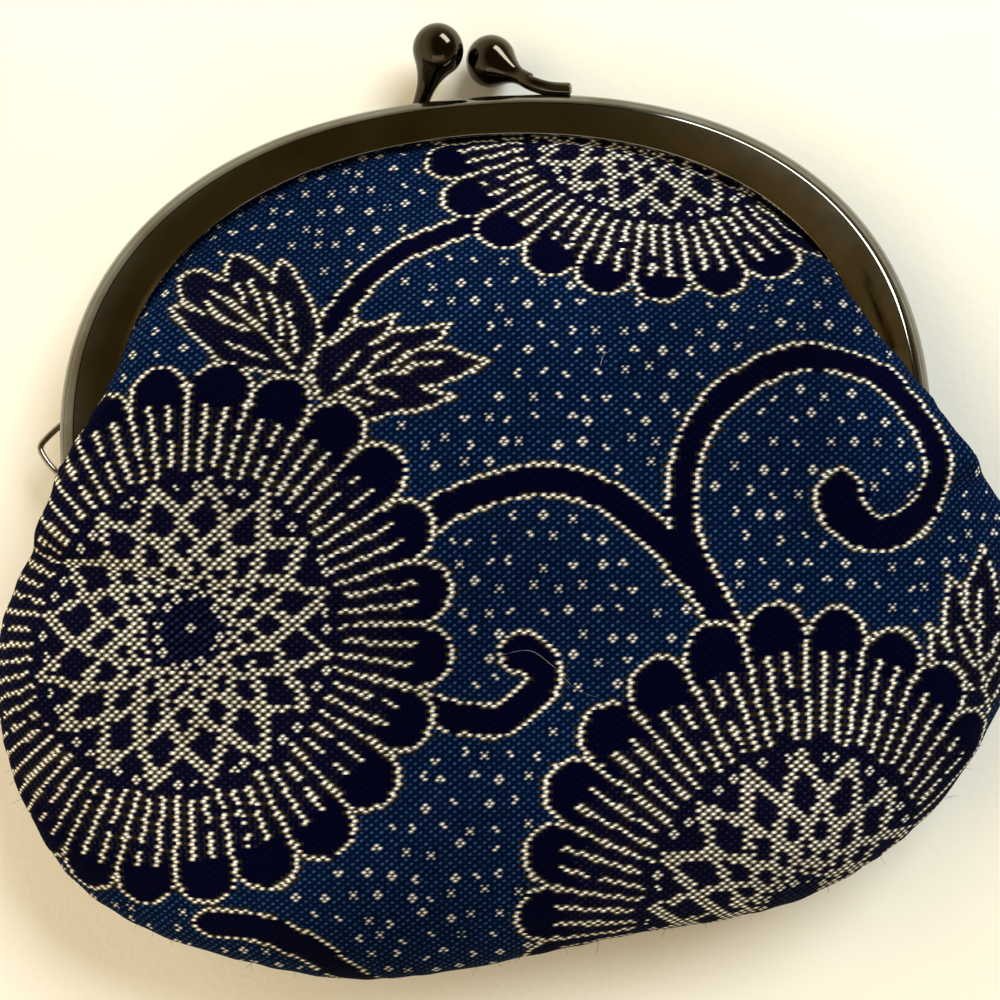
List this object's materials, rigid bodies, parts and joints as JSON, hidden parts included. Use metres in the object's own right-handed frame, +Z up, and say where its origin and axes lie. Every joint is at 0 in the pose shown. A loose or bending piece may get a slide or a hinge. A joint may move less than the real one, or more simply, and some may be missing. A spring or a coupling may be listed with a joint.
{
  "type": "kiss lock coin purse",
  "caption": "Kiss lock coin purse lying on its back: an arched metal clasp frame with crossing teardrop knobs grips a puffed, woven cloth pouch with a side seam.",
  "frame": {"origin": "on the surface that the purse lies on, under the middle of its box", "axes": "+Z up, away from the surface and out of the front panel; +Y from the pouch towards the clasp; +X to the right as seen from the front"},
  "size_m": [0.1202, 0.1114, 0.02],
  "materials": {
    "gunmetal": "gloss dark nickel plate, olive brown where it is worn",
    "pin_steel": "plain steel",
    "wire": "dark bright wire",
    "indigo_cloth": "matt plain weave, indigo with cream figures"
  },
  "bodies": {
    "root": {"front_frame": "gunmetal", "back_frame": "gunmetal", "left_hinge_pin": "pin_steel", "right_hinge_pin": "pin_steel", "side_loop": "wire", "front_panel": "indigo_cloth", "back_panel": "indigo_cloth"}
  },
  "joints": []
}
